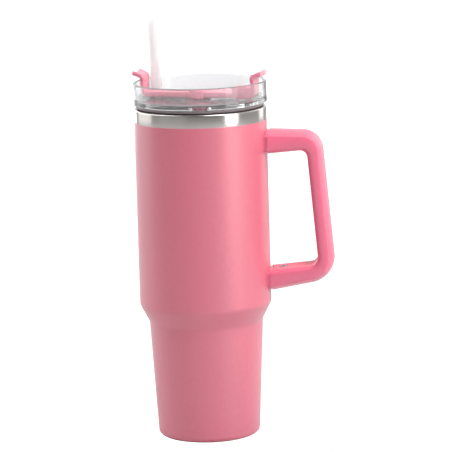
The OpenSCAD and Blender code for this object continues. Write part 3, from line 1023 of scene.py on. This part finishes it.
def makeStraw():
    # A tube along a leaning line: up its outside, over a rounded mouth, down its bore and round the foot.
    s = strawShape
    start, axis, sideways, third = strawLine()
    down = (lidShape["deckTop"] - s["foot"]) / math.cos(math.radians(lidShape["strawLean"]))
    rows = s["rows"]
    levels = np.linspace(-down, s["length"] - down, rows)
    outer = np.column_stack([np.full(rows, s["radius"]), levels])
    inner = np.column_stack([np.full(rows, s["radius"] - s["wall"]), levels[::-1]])
    mouth = roundEnd(outer[-2], outer[-1], inner[0], inner[1])
    foot = roundEnd(inner[-2], inner[-1], outer[0], outer[1])
    line = np.concatenate([outer[1:-1], mouth, inner[1:-1], foot])
    angle = np.linspace(0, 2 * math.pi, 48, endpoint=False)[:, None, None]
    ring = sideways * np.cos(angle) + third * np.sin(angle)
    grid = start + ring * line[None, :, 0, None] + axis * line[None, :, 1, None]
    mesh = gridMesh("drinkingStraw", grid, wrapRows=True, wrapColumns=True)
    addPiece(mesh, "straw", clearPlastic("strawPlastic", **strawLook), ["straw"])


makeStraw()
print("straw ready")

# Frame nodes that keep their own shape, each with its finish.

plainLooks = {
    "handle_cover": ("handleCoverGrip", coverLook),
    "spout_pad": ("padSilicone", {
        "colours": ((247, 200, 210), (243, 192, 203)), "roughness": (0.4, 0.5),
        "grain": {"Depth": 0.2, "Height": 0.00005}, "fixed": {"IOR": 1.42}}),
    "hub_washer": ("washerSilicone", {
        "colours": ((232, 228, 226), (222, 217, 215)), "roughness": (0.4, 0.5),
        "grain": {"Depth": 0.2, "Height": 0.00005}, "fixed": {"IOR": 1.42}}),
    "hub_retainer": ("retainerPlastic", {
        "colours": ((226, 92, 118), (219, 84, 110)), "roughness": (0.3, 0.4),
        "grain": {"Depth": 0.15, "Height": 0.00005}, "fixed": {"IOR": 1.49}}),
    "foil_wrap": ("wrapFoil", {
        "colours": ((205, 146, 100), (188, 128, 84)), "roughness": (0.2, 0.4),
        "grain": {"Wave Scale": 120.0, "Depth": 0.6, "Height": 0.0002}, "fixed": {"Metallic": 1.0}}),
    "vacuum_seal": ("sealSolder", {
        "colours": ((150, 150, 153), (132, 132, 136)), "roughness": (0.4, 0.55),
        "grain": {"Wave Scale": 900.0, "Depth": 0.5, "Height": 0.0001}, "fixed": {"Metallic": 1.0}}),
    "getter": ("getterSinter", {
        "colours": ((112, 112, 116), (92, 92, 97)), "roughness": (0.6, 0.8),
        "grain": {"Grain Scale": 3000.0, "Depth": 0.7, "Height": 0.0001}, "fixed": {"Metallic": 0.6}}),
    "upper_bracket": ("bracketSteel", {
        "colours": ((190, 189, 187), (172, 171, 170)), "roughness": (0.3, 0.42),
        "grain": {"Wave Scale": 500.0, "Depth": 0.3, "Height": 0.00005}, "fixed": {"Metallic": 1.0}}),
    "handle_screws": ("screwSteel", {
        "colours": ((178, 178, 180), (160, 160, 163)), "roughness": (0.26, 0.4),
        "grain": {"Wave Scale": 900.0, "Depth": 0.3, "Height": 0.00005}, "fixed": {"Metallic": 1.0}}),
}


def dressNodes():
    # Each frame node that keeps its own mesh gets a finished material in its slots.
    made = {}
    for node, (name, look) in plainLooks.items():
        made[node] = grainedMaterial(name, **look)
    made["lower_bracket"] = made["upper_bracket"]
    made["straw_stop"] = bpy.data.materials["strawPlastic"]
    for node, material in made.items():
        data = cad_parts[node].data
        data.materials.clear()
        data.materials.append(material)


dressNodes()
print("inner pieces dressed")

# Studio: floor, world and lamps.

studio = {
    "backdrop": 1.45,             # what the camera sees behind the tumbler
    "behind": 0.95,               # light from the white sweep behind it
    "front": 0.13,                # light from the room on the viewer's side
    "throughClear": 0.09,         # how much of the backdrop's extra light shows through clear plastic
    "facing": 5.0,                # degrees, which way the viewer's side lies
    "floorColour": (0.55, 0.54, 0.54, 1.0),
    "floorClean": 0.96,           # how far the viewer's sight of the paper is washed out by light
    "floorThrough": 0.53,         # and the sight of it through clear plastic
    "lamps": [
        # name, bearing from the viewer's side, height, distance, width and height of the panel, watts
        ("rightSoftbox", 55, 0.55, 1.05, (0.48, 1.1), 6.8),
        ("farRightPanel", 132, 0.55, 1.2, (0.45, 1.1), 1.9),
        ("leftPanel", -114, 0.55, 1.05, (0.9, 1.1), 3.0),
        ("farLeftPanel", -155, 0.55, 1.2, (0.4, 1.1), 3.0),
        ("frontLeftFill", -50, 0.6, 1.2, (1.2, 1.2), 0.5),
        ("overheadLeft", -100, 1.5, 0.9, (0.9, 0.9), 8.5),
        ("overheadRight", 40, 1.5, 0.9, (0.9, 0.9), 18.0),
    ],
    "aimHeight": 0.16,
    "fade": (-0.6, 0.5),          # share along the view where front turns into behind
    "floorRadii": (0.02, 6.0),
    "floorRise": 0.02,
    "floorDrop": 0.05 * mm,       # keeps the floor clear of the foot
}


def clearView(tree, direct, through):
    # A share for rays from the camera, and another for rays that have come through clear plastic.
    path = tree.nodes.new("ShaderNodeLightPath")
    passed = nodeOf(tree, "ShaderNodeMath", operation="MULTIPLY")
    passed.inputs[1].default_value = through
    tree.links.new(path.outputs["Is Transmission Ray"], passed.inputs[0])
    total = nodeOf(tree, "ShaderNodeMath", operation="MULTIPLY_ADD", use_clamp=True)
    total.inputs[1].default_value = direct
    tree.links.new(path.outputs["Is Camera Ray"], total.inputs[0])
    tree.links.new(passed.outputs["Value"], total.inputs[2])
    return total.outputs["Value"]


def makeWorld(settings):
    # Brightness runs with the direction's share along the view: dark on the viewer's side and white
    # behind the tumbler. The camera itself sees the clean backdrop.
    world = bpy.data.worlds.new("studio")
    scene.world = world
    world.use_nodes = True
    tree = world.node_tree
    place = tree.nodes.new("ShaderNodeTexCoord")
    along = nodeOf(tree, "ShaderNodeVectorMath", operation="DOT_PRODUCT")
    facing = math.radians(settings["facing"])
    along.inputs[1].default_value = (-math.sin(facing), math.cos(facing), 0)
    tree.links.new(place.outputs["Generated"], along.inputs[0])
    ends = (settings["front"], settings["behind"])
    tone = remap(tree, along.outputs["Value"], *settings["fade"], *ends)
    seen = nodeOf(tree, "ShaderNodeMix", data_type="FLOAT")
    seen.inputs[3].default_value = settings["backdrop"]
    tree.links.new(clearView(tree, 1.0, settings["throughClear"]), seen.inputs[0])
    tree.links.new(tone, seen.inputs[2])
    back = tree.nodes["Background"]
    back.inputs["Color"].default_value = (1, 1, 1, 1)
    tree.links.new(seen.outputs[0], back.inputs["Strength"])


def makeLamp(name, bearing, height, distance, size, watts):
    # A soft panel at a bearing from the viewer's side, turned to face the tumbler's middle.
    turn = math.radians(studio["facing"] + bearing)
    place = Vector((distance * math.sin(turn), -distance * math.cos(turn), height))
    data = bpy.data.lights.new(name, "AREA")
    data.shape = "RECTANGLE"
    data.size, data.size_y, data.energy = size[0], size[1], watts
    lamp = bpy.data.objects.new(name, data)
    lamp.location = place
    lamp.rotation_mode = "QUATERNION"
    lamp.rotation_quaternion = (Vector((0, 0, studio["aimHeight"])) - place).to_track_quat("-Z", "Y")
    scene.collection.objects.link(lamp)


def makeFloor(settings):
    # A wide round floor, nearly flat, that rises very gently towards its edge: z = (r / edge) ^ 6 * rise.
    first, edge = settings["floorRadii"]
    radius = np.concatenate([[0.0], np.geomspace(first, edge, 40)])
    angle = np.linspace(0, 2 * math.pi, 96, endpoint=False)
    r, a = np.meshgrid(radius, angle, indexing="ij")
    z = -settings["floorDrop"] + settings["floorRise"] * (r / edge) ** 6
    mesh = gridMesh("floor", np.stack([r * np.cos(a), r * np.sin(a), z], -1))
    material, tree, surface = newMaterial("floorPaper", {
        "Base Color": settings["floorColour"], "Roughness": 0.7})
    # The viewer sees the paper nearly washed out by light, with only a trace of the tumbler's shade.
    glow = nodeOf(tree, "ShaderNodeEmission", Strength=settings["backdrop"])
    blend = tree.nodes.new("ShaderNodeMixShader")
    share = clearView(tree, settings["floorClean"], settings["floorThrough"])
    tree.links.new(share, blend.inputs["Fac"])
    tree.links.new(surface.outputs["BSDF"], blend.inputs[1])
    tree.links.new(glow.outputs["Emission"], blend.inputs[2])
    tree.links.new(blend.outputs["Shader"], tree.nodes["Material Output"].inputs["Surface"])
    floor = bpy.data.objects.new("floor", mesh)
    mesh.materials.append(material)
    mesh.shade_smooth()
    scene.collection.objects.link(floor)


makeWorld(studio)
for lamp in studio["lamps"]:
    makeLamp(*lamp)
makeFloor(studio)
print("studio ready")
